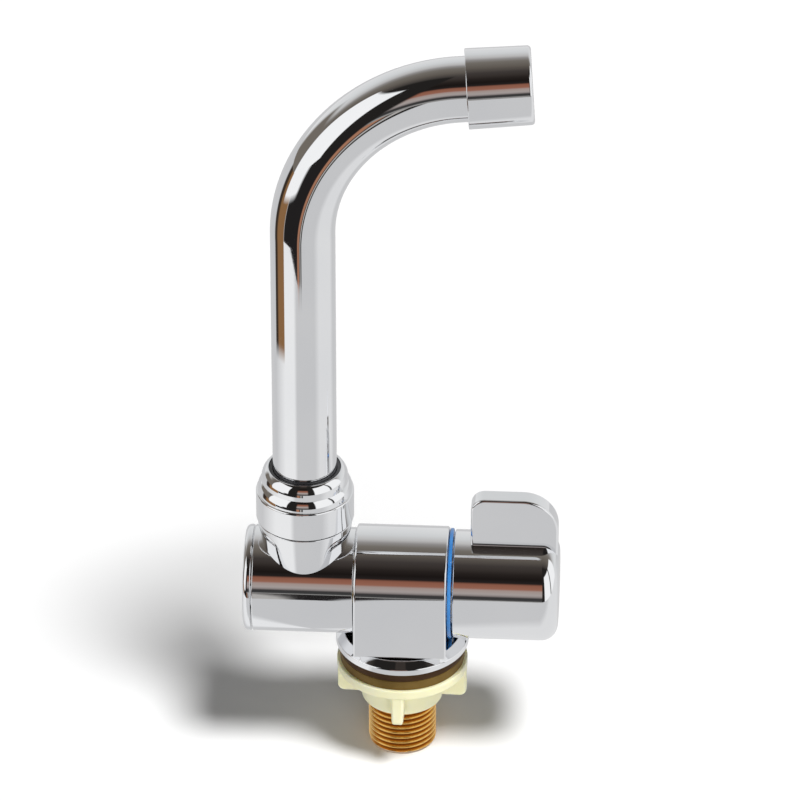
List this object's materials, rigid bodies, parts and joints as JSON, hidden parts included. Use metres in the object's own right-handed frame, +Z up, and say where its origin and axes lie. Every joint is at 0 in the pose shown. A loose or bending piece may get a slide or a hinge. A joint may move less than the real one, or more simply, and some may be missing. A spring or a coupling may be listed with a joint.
{
  "type": "folding caravan tap",
  "caption": "Cold-water tap for a caravan sink: chromed body on a threaded deck shank, quarter-turn lever handle and a bent swivelling spout that folds flat.",
  "frame": {"origin": "axis of the threaded shank at the deck surface, under the base gasket", "axes": "+Z up out of the deck along the shank axis, +X along the body axis towards the handle, -Y towards the user"},
  "size_m": [0.0964, 0.041, 0.2453],
  "materials": {
    "chrome": "polished chrome plate",
    "thread_brass": "bright machined brass thread",
    "turned_brass": "turned brass",
    "dark_gasket": "smooth dark brown rubber",
    "olive_gasket": "smooth olive brown rubber",
    "seal_rubber": "black nitrile rubber",
    "nut_plastic": "translucent cream nylon",
    "cold_blue": "glossy blue plastic",
    "ceramic": "lapped white ceramic",
    "washer_plastic": "white low-friction plastic",
    "bush_plastic": "dark acetal",
    "aerator_plastic": "grey moulded plastic",
    "steel": "stainless steel"
  },
  "bodies": {
    "base": {"valve_body": "chrome", "threaded_shank": "thread_brass", "base_gasket": "dark_gasket", "cold_ring": "cold_blue", "cartridge_housing": "turned_brass", "cartridge_o_ring": "seal_rubber", "seat_seal": "seal_rubber", "fixed_disc": "ceramic", "fold_spindle": "turned_brass", "fold_o_rings": "seal_rubber", "friction_washer": "washer_plastic", "tension_washer": "steel", "lock_nut": "steel"},
    "elbow": {"elbow_barrel": "chrome", "end_cap": "chrome", "collar_nut": "chrome", "swivel_bush": "bush_plastic"},
    "spout": {"spout_tube": "chrome", "spout_ferrule": "turned_brass", "spout_o_rings": "seal_rubber", "nozzle_sleeve": "chrome", "aerator_washer": "seal_rubber", "aerator_insert": "aerator_plastic", "aerator_screen": "steel"},
    "lever_handle": {"handle": "chrome", "valve_stem": "turned_brass", "moving_disc": "ceramic", "stem_o_ring": "seal_rubber", "stem_circlip": "steel", "grub_screw": "steel"},
    "clamp_ring": {"clamp_gasket": "olive_gasket"},
    "clamp_nut": {"wing_nut": "nut_plastic"}
  },
  "joints": [
    {"name": "elbow_fold", "type": "hinge", "parent": "base", "child": "elbow", "pos_m": [-0.02975, 0, 0.02425], "axis": [1, 0, 0], "range_deg": [-90, 90]},
    {"name": "spout_swivel", "type": "hinge", "parent": "elbow", "child": "spout", "pos_m": [-0.02975, 0, 0.06], "axis": [0, 0, 1], "continuous": true},
    {"name": "handle_turn", "type": "hinge", "parent": "base", "child": "lever_handle", "pos_m": [0.03, 0, 0.02425], "axis": [1, 0, 0], "range_deg": [0, 90]},
    {"name": "clamp_slide", "type": "slide", "parent": "base", "child": "clamp_ring", "axis": [0, 0, -1], "range_m": [0, 0.01088]},
    {"name": "nut_spin", "type": "hinge", "parent": "clamp_ring", "child": "clamp_nut", "pos_m": [0, 0, -0.01], "axis": [0, 0, -1], "range_deg": [0, 2160]}
  ],
  "couplings": [
    {"joint": "nut_spin", "follows": "clamp_slide", "rad_per_m": 3463.7}
  ]
}
